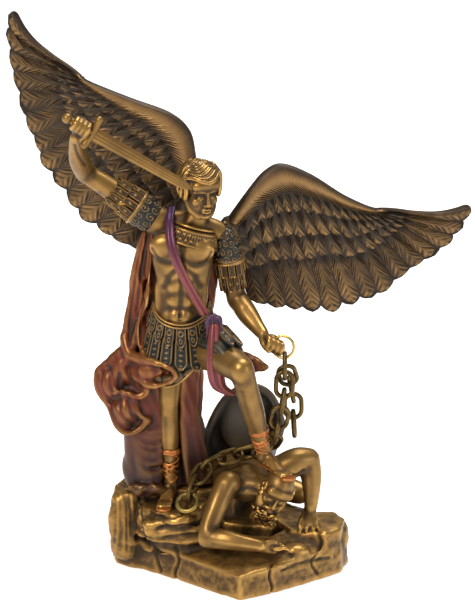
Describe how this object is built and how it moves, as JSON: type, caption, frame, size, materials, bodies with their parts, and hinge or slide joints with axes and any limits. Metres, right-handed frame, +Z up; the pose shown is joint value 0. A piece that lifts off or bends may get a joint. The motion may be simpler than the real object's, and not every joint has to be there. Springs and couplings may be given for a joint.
{
  "type": "archangel statue",
  "caption": "Winged archangel statue standing on a bound demon, with raised sword and chain, on a rock base.",
  "frame": {"origin": "middle of the flat underside, on the plane the statue stands on, below the standing hips' right side", "axes": "+Z up, -Y the way the figure faces, +X towards the figure's left wing"},
  "size_m": [0.2119, 0.0886, 0.2537],
  "materials": {
    "bronze_resin": "cold-cast bronze resin with a dark wash, rubbed gold highlights and painted cloak, sash and sandals",
    "bright_brass": "polished",
    "antique_chain": "dark antique plating"
  },
  "bodies": {
    "root": {"statue_casting": "bronze_resin", "right_wing": "bronze_resin", "left_wing": "bronze_resin", "sword": "bronze_resin", "hand_ring": "bright_brass", "rock_ring": "bright_brass", "chain_link_01": "antique_chain", "chain_link_02": "antique_chain", "chain_link_03": "antique_chain", "chain_link_04": "antique_chain", "chain_link_05": "antique_chain", "chain_link_06": "antique_chain", "chain_link_07": "antique_chain", "chain_link_08": "antique_chain", "chain_link_09": "antique_chain", "chain_link_10": "antique_chain", "chain_link_11": "antique_chain", "chain_link_12": "antique_chain", "chain_link_13": "antique_chain", "chain_link_14": "antique_chain", "chain_link_15": "antique_chain", "chain_link_16": "antique_chain"}
  },
  "joints": []
}
